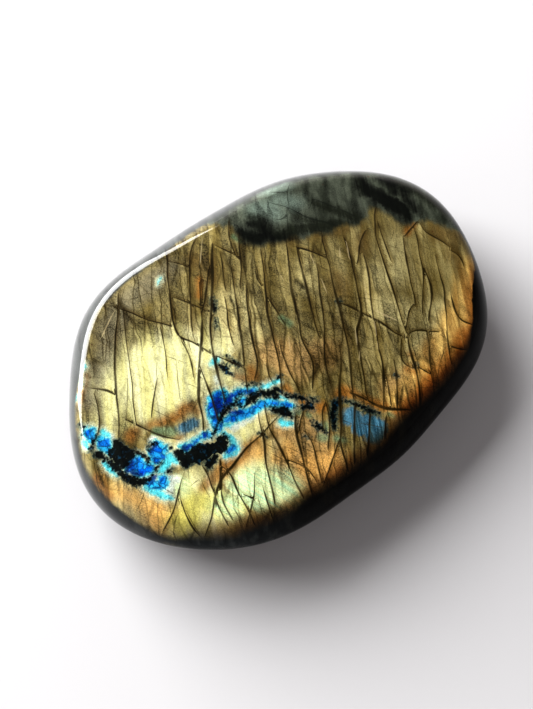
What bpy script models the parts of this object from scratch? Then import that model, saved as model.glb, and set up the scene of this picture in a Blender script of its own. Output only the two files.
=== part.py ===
"""A polished freeform of labradorite, lying on its flat underside.

The stone is one solid. Seen from above it is a rounded oval, longest along X.
Its polished face is slightly crowned and leans a little, a broad bevel runs
along its +Y side, and soft shoulders roll down everywhere else. The underside
curves in to a flat that the stone rests on, which is the plane z = 0.

Lengths are in millimetres, and directions in degrees round the Z axis from +X.
"""

import bmesh
import bpy
import numpy as np

MILLIMETRE = 0.001

# How far the stone reaches from its middle at its girth, every 20 degrees from +X.
REACH = (
    (53.3, 48.4, 42.7, 37.8, 36.0, 37.8)
    + (43.6, 47.5, 51.7, 55.6, 52.6, 47.3)
    + (41.5, 39.1, 39.9, 44.1, 49.7, 52.1)
)

# How far the edge of the polished face lies inside the girth, every 30 degrees, and how
# round that edge is: near 0 a bevel starts at a crease, at 0.55 it is a quarter ellipse.
FACE_INSET = (6.2, 7.8, 8.0, 7.0, 6.1, 4.9, 4.4, 5.2, 6.4, 7.0, 5.8, 5.0)
EDGE_ROUNDNESS = (0.44, 0.34, 0.20, 0.20, 0.32, 0.38, 0.44, 0.50, 0.55, 0.55, 0.46, 0.34)
GIRTH_ROUNDNESS = 0.46

# How far the edge of the flat underside lies inside the girth, every 30 degrees.
BASE_INSET = (14.0, 12.5, 10.5, 11.0, 12.5, 12.0, 13.0, 12.5, 11.0, 10.5, 12.0, 14.0)
BASE_ROUNDNESS = 0.52

FACE_EDGE_HEIGHT = 20.0
FACE_CROWN = 1.6
GIRTH_HEIGHT = 10.5

# How much the height grows for each millimetre towards +X and towards +Y.
LEAN_X = 0.0004
LEAN_Y = 0.0012

# Steps across the face and the flat, down the shoulder, and in under the stone.
GRID = 24
SHOULDER_RINGS = 10
UNDER_RINGS = 8

STONE_COLOUR = (0.23, 0.20, 0.10, 1.0)
STONE_ROUGHNESS = 0.09


def around(values, direction):
    """A smooth closed run through values that stand at equal steps of direction."""
    count = len(values)
    waves = np.fft.rfft(values) / count
    turns = np.arange(len(waves))
    weights = np.where((turns == 0) | (2 * turns == count), 1.0, 2.0)
    return float(np.sum(weights * (waves * np.exp(1j * turns * direction)).real))


def bezier(start, first, second, end, steps):
    """Points on a cubic curve after its start, up to and with its end."""
    points = []
    for step in range(1, steps + 1):
        t = step / steps
        s = 1 - t
        points.append(s**3 * start + 3 * s**2 * t * first + 3 * s * t**2 * second + t**3 * end)
    return points


def shoulder(direction):
    """The way down from the edge of the face to the girth, as reach and height."""
    girth = around(REACH, direction)
    inset = around(FACE_INSET, direction)
    roundness = around(EDGE_ROUNDNESS, direction)
    start = np.array((girth - inset, FACE_EDGE_HEIGHT))
    end = np.array((girth, GIRTH_HEIGHT))
    slope = 2 * FACE_CROWN / start[0]
    first = start + roundness * inset * np.array((1.0, -slope))
    second = end + np.array((0.0, GIRTH_ROUNDNESS * (FACE_EDGE_HEIGHT - GIRTH_HEIGHT)))
    return bezier(start, first, second, end, SHOULDER_RINGS)


def underside(direction):
    """The way in from the girth to the edge of the flat, as reach and height."""
    girth = around(REACH, direction)
    inset = around(BASE_INSET, direction)
    start = np.array((girth, GIRTH_HEIGHT))
    end = np.array((girth - inset, 0.0))
    first = start - np.array((0.0, BASE_ROUNDNESS * GIRTH_HEIGHT))
    second = end + np.array((BASE_ROUNDNESS * inset, 0.0))
    return bezier(start, first, second, end, UNDER_RINGS)


def lean(x, y, z):
    """Metres for a point in millimetres, with the lean of the face put in."""
    return MILLIMETRE * x, MILLIMETRE * y, MILLIMETRE * z * (1 + LEAN_X * x + LEAN_Y * y)


def cap(bm, face):
    """A grid of corners over the face or the flat, with its rim going round the stone."""
    inset = FACE_INSET if face else BASE_INSET
    side = [np.sqrt(2) * np.sin(np.pi / 4 * (2 * step / GRID - 1)) for step in range(GRID + 1)]
    rows = []
    for v in side:
        row = []
        for u in side:
            across = u * np.sqrt(1 - v * v / 2)
            along = v * np.sqrt(1 - u * u / 2)
            part = np.hypot(across, along)
            direction = np.arctan2(along, across)
            reach = part * (around(REACH, direction) - around(inset, direction))
            height = 0.0
            if face:
                height = FACE_EDGE_HEIGHT + FACE_CROWN * (1 - part * part)
            place = lean(reach * np.cos(direction), reach * np.sin(direction), height)
            row.append(bm.verts.new(place))
        rows.append(row)
    for lower, upper in zip(rows, rows[1:]):
        for near, far in zip(range(GRID), range(1, GRID + 1)):
            corners = [lower[near], lower[far], upper[far], upper[near]]
            bm.faces.new(corners if face else corners[::-1])
    right = [row[-1] for row in rows]
    left = [row[0] for row in rows]
    return rows[0][:-1] + right[:-1] + rows[-1][:0:-1] + left[:0:-1]


def centre(bm):
    """Move the body so that its box stands with its middle over the origin."""
    low = np.min([corner.co for corner in bm.verts], axis=0)
    high = np.max([corner.co for corner in bm.verts], axis=0)
    middle = (low + high) / 2
    bmesh.ops.translate(bm, verts=bm.verts, vec=(-middle[0], -middle[1], -low[2]))


def stone():
    """The whole stone as one closed body."""
    bm = bmesh.new()
    face_rim = cap(bm, face=True)
    base_rim = cap(bm, face=False)
    directions = [np.arctan2(corner.co.y, corner.co.x) for corner in face_rim]
    columns = [shoulder(turn) + underside(turn)[:-1] for turn in directions]
    rings = [face_rim]
    for level in range(len(columns[0])):
        ring = []
        for turn, column in zip(directions, columns):
            reach, height = column[level]
            place = lean(reach * np.cos(turn), reach * np.sin(turn), height)
            ring.append(bm.verts.new(place))
        rings.append(ring)
    rings.append(base_rim)
    for upper, lower in zip(rings, rings[1:]):
        count = len(upper)
        for this in range(count):
            following = (this + 1) % count
            bm.faces.new([upper[this], lower[this], lower[following], upper[following]])
    centre(bm)
    mesh = bpy.data.meshes.new("labradorite_stone")
    bm.to_mesh(mesh)
    bm.free()
    mesh.shade_smooth()
    return mesh


def polished_labradorite():
    """The stone's own olive gold under a polish."""
    material = bpy.data.materials.new("polished_labradorite")
    material.use_nodes = True
    shader = material.node_tree.nodes["Principled BSDF"]
    shader.inputs["Base Color"].default_value = STONE_COLOUR
    shader.inputs["Roughness"].default_value = STONE_ROUGHNESS
    shader.inputs["Metallic"].default_value = 0.0
    return material


for leftover in list(bpy.data.objects):
    bpy.data.objects.remove(leftover)

labradorite = bpy.data.objects.new("labradorite_stone", stone())
labradorite.data.materials.append(polished_labradorite())
bpy.context.scene.collection.objects.link(labradorite)
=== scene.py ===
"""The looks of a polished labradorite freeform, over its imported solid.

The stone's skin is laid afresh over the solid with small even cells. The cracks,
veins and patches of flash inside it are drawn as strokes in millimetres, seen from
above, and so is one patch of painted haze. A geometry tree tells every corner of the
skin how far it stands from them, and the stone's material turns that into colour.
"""

import math

import bmesh
import bpy
import numpy as np
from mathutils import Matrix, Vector
from mathutils.bvhtree import BVHTree


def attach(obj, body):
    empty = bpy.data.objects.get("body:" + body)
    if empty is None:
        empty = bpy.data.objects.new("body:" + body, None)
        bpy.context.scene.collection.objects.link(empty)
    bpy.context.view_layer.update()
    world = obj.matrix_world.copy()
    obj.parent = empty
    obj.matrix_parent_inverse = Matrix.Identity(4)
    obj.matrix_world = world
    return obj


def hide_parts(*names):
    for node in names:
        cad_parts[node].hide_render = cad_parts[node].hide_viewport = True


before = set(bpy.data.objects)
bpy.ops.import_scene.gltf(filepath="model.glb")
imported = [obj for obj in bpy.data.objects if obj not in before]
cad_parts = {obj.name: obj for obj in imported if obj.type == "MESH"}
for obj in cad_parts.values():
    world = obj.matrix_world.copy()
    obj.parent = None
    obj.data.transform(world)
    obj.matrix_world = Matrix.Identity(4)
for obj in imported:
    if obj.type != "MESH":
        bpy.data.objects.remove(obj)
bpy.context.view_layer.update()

# The stone: a slab of labradorite, sawn, ground round and polished to a gloss.
# Its skin follows the solid closely, in cells of a third of a millimetre on the
# upper half, so that a hairline crack keeps its edges, and twice that below.

MILLIMETRE = 0.001
GIRTH_HEIGHT = 10.5 * MILLIMETRE
SHOULDER_WIDTH = 10.0 * MILLIMETRE
UPPER_CELLS = 270
LOWER_CELLS = UPPER_CELLS // 2
FACE_SHARE = 0.7
WELD = 0.001 * MILLIMETRE
QUAD_FOLD = math.radians(40)
QUAD_SKEW = math.radians(60)
REFERENCE_LEVELS = 3
GIRTH_READINGS = 720


def smooth_reference(node):
    """A search tree over a copy of the solid with its facets rounded off."""
    bm = bmesh.new()
    bm.from_mesh(node.data)
    bmesh.ops.remove_doubles(bm, verts=bm.verts, dist=WELD)
    limits = {"angle_face_threshold": QUAD_FOLD, "angle_shape_threshold": QUAD_SKEW}
    bmesh.ops.join_triangles(bm, faces=bm.faces, **limits)
    mesh = bpy.data.meshes.new("reference")
    bm.to_mesh(mesh)
    bm.free()
    body = bpy.data.objects.new("reference", mesh)
    bpy.context.scene.collection.objects.link(body)
    rounding = body.modifiers.new("rounding", "SUBSURF")
    rounding.levels = REFERENCE_LEVELS
    rounding.render_levels = REFERENCE_LEVELS
    search = BVHTree.FromObject(body, bpy.context.evaluated_depsgraph_get())
    bpy.data.objects.remove(body)
    bpy.data.meshes.remove(mesh)
    return search


def girth_reader(search):
    """A function that gives the reach of the stone at its girth for any direction."""
    turns = np.arange(GIRTH_READINGS) * math.tau / GIRTH_READINGS
    reaches = []
    for turn in turns:
        hit = search.ray_cast(Vector((0, 0, GIRTH_HEIGHT)), Vector((math.cos(turn), math.sin(turn), 0)))
        reaches.append(hit[0].xy.length)
    return lambda turn: float(np.interp(turn, turns, reaches, period=math.tau))


def skin_point(search, girth, column, row, cells, upward):
    """The point of the skin for one corner of a square net laid over half of the stone.

    The inner share of the net is cast straight up or down, and the rest fans out.
    """
    u = math.sqrt(2) * math.sin(math.pi / 4 * (2 * column / cells - 1))
    v = math.sqrt(2) * math.sin(math.pi / 4 * (2 * row / cells - 1))
    across = u * math.sqrt(1 - v * v / 2)
    along = v * math.sqrt(1 - u * u / 2)
    share = math.hypot(across, along)
    turn = math.atan2(along, across)
    inner = girth(turn) - SHOULDER_WIDTH
    climb = math.pi / 2 * min(1, (1 - share) / (1 - FACE_SHARE))
    reach = inner * min(1, share / FACE_SHARE)
    start = Vector((reach * math.cos(turn), reach * math.sin(turn), GIRTH_HEIGHT))
    flat = math.cos(climb)
    aim = Vector((flat * math.cos(turn), flat * math.sin(turn), upward * math.sin(climb)))
    return search.ray_cast(start, aim)[0]


def stone_skin(node):
    """The closed skin of the stone: a fine net above the girth and a coarser one below."""
    search = smooth_reference(node)
    girth = girth_reader(search)
    side = UPPER_CELLS + 1
    corners = [
        skin_point(search, girth, column, row, UPPER_CELLS, 1)
        for row in range(side)
        for column in range(side)
    ]
    faces = []
    for row in range(UPPER_CELLS):
        for column in range(UPPER_CELLS):
            first = row * side + column
            faces.append((first, first + 1, first + side + 1, first + side))
    under = {}
    for row in range(LOWER_CELLS + 1):
        for column in range(LOWER_CELLS + 1):
            if 0 < row < LOWER_CELLS and 0 < column < LOWER_CELLS:
                under[column, row] = len(corners)
                corners.append(skin_point(search, girth, column, row, LOWER_CELLS, -1))
            else:
                under[column, row] = 2 * row * side + 2 * column
    for row in range(LOWER_CELLS):
        for column in range(LOWER_CELLS):
            ring = ((column, row), (column, row + 1), (column + 1, row + 1), (column + 1, row))
            face = []
            for here, there in zip(ring, ring[1:] + ring[:1]):
                face.append(under[here])
                sideways = here[1] == there[1] and here[1] in (0, LOWER_CELLS)
                upright = here[0] == there[0] and here[0] in (0, LOWER_CELLS)
                if sideways or upright:
                    face.append((under[here] + under[there]) // 2)
            faces.append(tuple(face))
    mesh = bpy.data.meshes.new("stone_skin")
    mesh.from_pydata(corners, [], faces)
    mesh.shade_smooth()
    return mesh


# The markings, each a stroke of x,y points in millimetres from the stone's middle. The
# stroke's half width comes third, where it isn't the same as at the point before. The
# shift corrects how all but the veins were read.

STROKE_STEP = 0.6
READING_SHIFT = (0.4, 0.2)
EASE_STEPS = 3
CRACK_HEADING = Vector((-0.62, -0.78))
CRACK_SEED = 7
CRACK_JITTER = 0.012
CRACK_SWELL = 0.35
CRACK_TIP = 0.45
CRACK_TAPER = 0.6

CRACKS = """
-42,6.7,.16 -41,7.5 -39.8,8.7 -38.5,10.3 -37.2,12 -36,13.8 -34.6,15.3 -32.5,18 -30.5,20.2 -28.5,22.2
 -26.5,24.3 -24,26.4 -22,28.3 -20.5,30 -18.8,31.5
-37.2,6.3,.1 -36,7.8 -35,9.3 -33.8,11 -32.3,12.3 -30.5,15 -28.8,17.2 -27,19.8 -25,22.5 -23,25
 -21.2,27.4
-44.7,10.3,.12 -43.5,11 -42.5,12 -41,14 -39.5,16.5 -38.9,17.7
-38.5,19,.2 -37,17 -36,15 -36,14
-22,29.5,.12 -21.3,28 -20.5,26.5 -19.8,24 -19.2,22 -18.8,21 -18,19.8 -17.5,19.2 -16.8,17.5 -16.2,16
-16.2,16,.22 -16.8,14.5 -17,13 -16.2,11.5 -15.7,10.5 -15.5,9.5 -15.5,8.2 -15.2,7 -14.8,5.8 -14.7,5
-14.7,5,.12 -14.3,3.8 -13.6,2 -13.2,.8 -12.8,-.5 -12.3,-1.8
-25.5,8.5,.1 -24,10.5 -22.5,12 -21,14.2 -19.5,16.3 -18.3,18.3
-17,13,.17 -16.2,16 -14.5,18.5 -13,20.5 -11.5,22.3 -10,24.3 -8.5,26.2 -7.5,27.5 -5.5,29.2 -4,31.8
 -2.5,33.5
-11.3,21.7,.1 -10.5,20 -9.8,18 -9.2,16.2 -8.5,14 -8,12.5
-10.5,13,.16 -8.5,15.5 -7,17 -5.5,18.8 -4.3,20
-14,12.5,.17 -12.5,14.5 -10.5,16.5 -8.8,18.5 -7.3,20.2 -5.5,22 -4,23.7 -3.3,24.3 -1.8,26 1,28 2.2,28.6
-5.4,28.8,.1 -4.5,27.5 -4,26 -3.4,24.5
-10.5,13,.28 -12,11.5 -13.5,10 -15,8.7 -16.5,7.5 -18,6.3 -19,5.3 -20.5,4 -21.5,2.8 -22.7,1.7 -24.3,.2
 -25.2,-1.2 -26,-2.8 -27,-4 -28.2,-5.3
-9.5,14.2,.2 -7.5,15.3 -6,16.5 -4,18 -2,19.8 0,21.2
-9.5,11.3,.34 -8,12.5 -6,14.5 -4.5,16 -3,17.3 -1,19.2 .3,20.8 1.5,22 2.5,23 3.8,24.2 4.6,25
-9.5,11.3,.24 -10.7,10.3 -12,8.7 -13,7.5 -14,6.3 -14.8,5 -15.8,3.5 -16.8,2 -17.8,.5 -18.6,-1 -19.3,-2.2
 -20.3,-3.8
-1.8,14.2,.13 -.5,16 1,18 2.5,19.5 4,21.8
4.8,24.2,.12 5.3,22 5.8,20.5 6.1,18.8 6,17.2
.8,12.2,.14 2,13.5 3.5,14.5 5,16 6.3,17.5 7.5,19 8.8,20.5 10.6,22.4
6,18.5,.11 7,20.8 8,22.8 9.3,24.3 11.5,26.6
8.6,12.5 9.5,13.8 11.2,15.8
-38.2,8.2,.16 -37.7,6.8 -37.2,5 -36.7,3.5 -36,1.5 -35.5,0 -34.5,-1.5 -33.5,-3
-27,10.2,.12 -29,8.7 -31,7.3 -32.5,6 -34,4.8
-18.6,5.6,.17 -19.5,3.8 -20.3,2 -21,.5 -21.8,-1.2 -22.5,-2.5 -23.5,-4.2 -24.5,-6
-17.3,12.7,.12 -17.8,11 -18.3,9.3 -19.3,7.5 -20.3,6 -21.5,4.5
-3.3,13,.13 -4.2,11.7 -5,10.5 -6.5,9 -7.8,7.3 -9,5.5 -10,3.7
3,17.2,.2 1.5,15.2 -.3,13 -1.8,11 -3.5,8.7 -4.5,7.5 -6,5.8 -7,4.3 -8,3 -9,1.8 -10.3,.2 -11.5,-1.2
 -12.5,-2.3 -13.5,-3.7 -14.5,-4.8 -15.5,-6
2.2,11.5 1,10.2 0,9.5 -1.2,8 -2.5,6.3 -3.8,4.7 -5,3.2 -6,1.8 -7,.3 -8,-1 -9,-2.8 -10,-4 -11.3,-4.7
 -12.5,-5.3
8.7,12.7 7.5,11.2 6.2,9.8 5,8.5 3.8,7 2.5,5.5 1,4 0,2.7 -1.3,.5 -2.5,-1.2 -3.7,-3 -4.8,-4.7 -5.8,-6.2
 -6.8,-7.5 -8,-8.8 -9.3,-10.3 -10.3,-11.5
-2.5,-3.3,.13 -3.8,-4.8 -4.3,-6.2 -5.2,-8 -6,-9.5 -6.7,-11.5 -7.2,-13.2 -8,-14.8
-8,-4.5,.09 -9.3,-6.2 -10.2,-7.8 -10.5,-9
6.3,12.8,.1 5,11.2 4.6,10 4.6,9
16,12.2,.22 14.8,10.7 13.3,9 12,7.5 10.5,5.8 9,4.2 8,3 7.3,1.7 6.5,.5 5.5,-.7 4.9,-1.5 4.5,-2.8
 3.5,-3.8 2.3,-5 1.5,-6 .8,-7.7 .2,-9.5 -.5,-11.5 -1.3,-12.5 -2.6,-13.6 -4,-14.7 -5.2,-15.8
3.6,6.5,.13 3,4.8 2.6,3 2.3,1.5 1.7,.3 1.4,-1.2
17.3,10.2,.2 16.3,8.8 15,7 13.8,5.2 12.7,3.7 11.7,2 10.5,.3 9.5,-1 8.5,-2.5 7,-4.7 6,-6.2 5,-7.7
 4.5,-8.8
17,3.7,.15 16,2.3 14.8,.9 13.5,-.3 12.5,-1.5 11,-3.3 9.7,-5 8.2,-6.7 7,-8 6,-9 4.7,-10 3.5,-11.3
 2.3,-12.3 1.3,-13.5 .3,-14.7 -.5,-16 -1.3,-17.3 -2,-18.3
17.2,10.2,.18 18,9 18.6,7.6 19,6.3 19.6,4.8 20,3.5
20,3.2,.22 19.3,1.7 18.2,.5 17,-1 15.7,-2.8 14.5,-4.5 13.7,-6 12.5,-7.7 11.3,-9.3 10.3,-10.7 9,-12.5
 8.3,-13.6 7.5,-14.8 6.6,-15.8 5.5,-17 4.5,-18.2 3.5,-19.2 2.5,-20.2 1.5,-21.3 .7,-22.2 -.5,-23.7
20.3,3.5,.11 21.3,5 22.3,6.8 23.3,8
13.6,-6,.2 14.2,-7.3 14.8,-8.5 15.3,-9.7 15.2,-11 15.8,-12.4 16.3,-14 16.5,-15 16.9,-16.3 17.3,-17.5
 16.9,-18.5 17,-19.5 17.4,-20.7 17.8,-21.8 18.2,-22.6
26.7,4,.22 25.5,2 24.5,.3 23,-1.8 21.8,-3.3 20.7,-5 19.5,-6.5 18.3,-7.8 17.3,-9.5 16,-10.8 14.8,-12.2
 12.4,-12.9 11,-14 9.8,-15.5 9,-16.5 8,-17.8 7,-19 6,-20.3 5,-21.7 3.8,-23 2.7,-24.3 1.7,-25.5
 1.3,-26.3
31.5,1.8,.18 30,1.3 28.5,.7 27,-.3 25.5,-1.7 24,-2.5
26.7,-2 25.5,-4 24,-5.8 22.7,-7.5 21,-9 19.5,-10.7 18.3,-12 17,-13.5 15.9,-15 14.8,-16.5 13.8,-17.7
 12.6,-19 11.8,-20
11.8,-20,.25 10.8,-21.7 9.8,-23 8.8,-24 7.7,-25.2 6.5,-26.2 5.4,-27.3 4.3,-28.3 3.2,-29.2 2.5,-29.7
37.8,4.2,.16 36.3,3.3 35,1.7 33.7,.7 32.8,0 32,-1.2 30.8,-3 29.5,-5 28.3,-7 27,-9 26,-10.7 25,-12.5
 24,-13.9 23.2,-15.2 22.3,-16.5 21.3,-18 20.3,-19.6 19.5,-21 19,-22
19.2,-22,.22 18.3,-22.8 17.5,-23.8 16.7,-24.9 15.9,-26 15.2,-27.2 14.8,-28 14.2,-28.8 13.3,-30.2
 12.5,-31.2 11.5,-32.3 10.2,-33.7 9,-34.8
36.2,2.5,.11 35.2,1 34.2,-.5 33.2,-2 32.3,-3.7 31,-5.8 30,-7.5
36.7,-5.3,.14 35.2,-7 33.7,-8.7 32.2,-10.5 30.5,-12.7 29.3,-14 28.2,-15.3 27.7,-16.5 26.5,-18
 25.5,-18.8
36.8,-5.6,.16 38.5,-5.3 40.5,-5.3 42,-5
40,-6,.1 39,-7.7 38,-9 36.5,-10.3 35.2,-12 33.8,-14 32.5,-15.3 31,-16.5 29.3,-17.8 27.8,-19 26.3,-20.2
 25,-21.5
42.3,-5.8,.11 41.5,-7 41.3,-8 41.7,-9.5 42.1,-11.3 42.3,-12.5 42.6,-14 42.5,-14.7
34,-14.2,.22 33,-15.5 32.8,-17 31.5,-18.3 30.3,-19.7 29.3,-20.7 27.5,-21.5 26,-22.5 25,-23.3
38.3,-14,.13 37,-15.5 36,-17 35,-18.3 34,-19.7 33.5,-21 32,-22 30.7,-23.2 29.5,-24.7 28,-26 26.5,-27.5
 25,-28.7 24.2,-29.7 23.3,-30.8 22,-32 21,-33.5
33.2,-23,.16 32,-24.5 31,-26 30.3,-27.5 30.2,-29 30.7,-30.2 31.2,-30.7
42,-15.5,.1 42.3,-17 42.5,-18 42,-19.2 41,-20.3
19,-22.2,.16 20,-22.4 21.3,-22.6 21.8,-23.3 22.3,-24.3 22.9,-25 23.5,-26 24.4,-26.6
26,-18.4,.12 25,-18.3 24,-18.4 22.5,-19.3 21,-20.2 19.6,-21.2
6.2,-13.3,.22 5.3,-14.5 4.2,-15.6 3,-16.7 1.8,-17.7 1,-18.3 0,-19 -1,-19.8 -2,-20.8 -3,-22 -3.7,-22.5
 -4.8,-23.7 -5.8,-24.8 -7,-26 -8.3,-27 -9.5,-28 -10.5,-29 -11,-30.5 -12,-32 -12.7,-33.3
12.2,-24.2,.2 11.2,-25.4 10.2,-26.8 9,-27.8 7.8,-29 6.7,-30 5.5,-31.2 4.8,-31.7
8.3,-25.2,.13 7.3,-26.7 6.2,-28 5.2,-29.3 4.2,-30.5
17.5,-21.8,.12 16,-22.8 14.7,-24 13.3,-25.4 13,-25.8 13.4,-26.8 13.7,-28 14,-28.6
15,-29 15.3,-30.5 15.7,-32
23.8,-30.8,.16 24,-32 25,-33 26,-33.7
22.5,-25,.1 21.5,-26.2 20.3,-27.5 19,-28.8 17.5,-30.2 16.5,-31.2 15.6,-32.2 14.8,-33.3
-49,-14,.13 -48,-14 -46,-13.7 -44.5,-13 -43.3,-12.4 -42.7,-12 -41.5,-11.2 -40,-10.2 -38.7,-9.5
-42.3,-12.8 -43,-14.2 -43.6,-15.5 -44.1,-16.8 -44.4,-18 -44.6,-19.3 -44.4,-20.2
-43.4,-21,.22 -43,-20.9 -42,-20.7 -41,-20.2 -40,-19.7 -39,-19.1 -38,-18.2 -37,-17.4 -36.2,-16.9
 -35,-16.5 -34,-16 -33,-15.5 -32.5,-15.2 -31,-15.5 -29.5,-15.4 -28,-15.2 -27,-15 -25,-14.8 -24,-14.6
 -22,-15 -20.3,-15 -18.5,-14.9 -17,-14.8 -15.5,-14.8
-30.5,-12.7,.3 -31.5,-13.8 -32.5,-14.8 -33.3,-15.5 -34,-16.3 -34.8,-17.2
-34.8,-17.2,.16 -35.5,-18 -36.2,-19 -36.7,-20 -37,-21 -37,-22 -37.5,-23.2
-36.2,-16.5 -36.8,-17.2 -37.2,-18 -37.7,-19.3 -38,-20.5 -38.5,-21.5 -38.8,-22.3 -38.9,-23.2
-34,-11,.13 -34.2,-12.5 -35,-14 -35.8,-15.3 -36.2,-16.5
-31.2,-13.5,.15 -31,-15 -31,-16.7 -31.8,-18 -32.2,-19 -32.7,-20 -33,-21 -33.3,-22.2 -33.6,-23.5
 -34,-24.8 -34.4,-26 -34.9,-27
-32.1,-21.5,.14 -31.8,-22.3 -31.3,-23.5
-27.3,-19.7,.11 -28.3,-20.5 -29.3,-21.6 -30.2,-22.5 -31.3,-23.5 -32.5,-24 -33.7,-24.5 -35,-25.7
 -36.3,-26
-28.4,-23.3,.13 -29.3,-25 -30.2,-26.5 -30.9,-27.8 -31.3,-28.8
-17.5,-11.3,.18 -18,-12 -18.8,-12.8 -19.5,-14 -20,-15 -21,-16.5 -22,-17.7 -23,-18.7 -23.8,-19.3
 -24.5,-20.5 -25.5,-22 -26.3,-23.3 -27,-24.5 -28,-26 -29,-27.2
-15.3,-11,.19 -16,-12 -16.8,-13.2 -17.7,-14.3 -18.4,-15.3 -18.7,-16.3 -18.7,-17.5 -19.2,-18.8 -19.8,-20
 -20.2,-21.2 -20.6,-22.4 -20.9,-23.3 -21.4,-24.3 -22,-25.5 -22.6,-26.8 -23,-28 -23.4,-29.3 -23.7,-30.5
-12.5,-17.5,.25 -13.5,-18.5 -14.5,-19.5 -15.3,-20.5 -16,-21.7 -16.7,-23 -17.3,-24 -18,-25 -18.8,-26.2
 -19.6,-27.5 -20.4,-28.8 -21,-29.8 -21.7,-31
-20.3,-23,.12 -19.7,-24.3 -19.2,-25.5 -18.8,-27 -18.7,-28 -19.2,-29.3 -19.5,-30.5
-13.5,-22,.13 -13.8,-23.5 -14.2,-24.7 -15,-25.6 -15.8,-26.7 -16.6,-28 -17.3,-29 -18,-30 -18.6,-31
-9.3,-27.6 -11.3,-28.5 -12.5,-29 -14,-29.7 -15.5,-30.4 -17,-31 -18.5,-31.6
-10.3,-17.8,.11 -11,-18 -12,-18.8 -13.5,-19.7 -15,-20.6
-5.5,-20,.15 -6.3,-21.5 -7.5,-22.8 -8.5,-24 -9.5,-25 -10.5,-25.7 -12,-26.6 -12.6,-27.3
-5.8,-20,.13 -6.8,-20.2 -7.8,-21 -8.8,-22.2 -10,-23.3
-1.5,-25,.24 -2.8,-26 -4.3,-27.3 -5.5,-28.5 -6.8,-29.6 -8,-30.7 -9.3,-31.9 -10.5,-33.2
-.5,-28.5,.22 -1.8,-29.5 -3,-30.5 -4.5,-31.8 -6,-33 -7.3,-34
1.5,-31.4,.2 0,-32.5 -1,-33.5 -2,-34.3
0,-22.5,.28 .7,-24 1.3,-26 2,-28.5 2.7,-30 4,-31.5 5,-32.5 6.5,-34
"""

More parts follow.
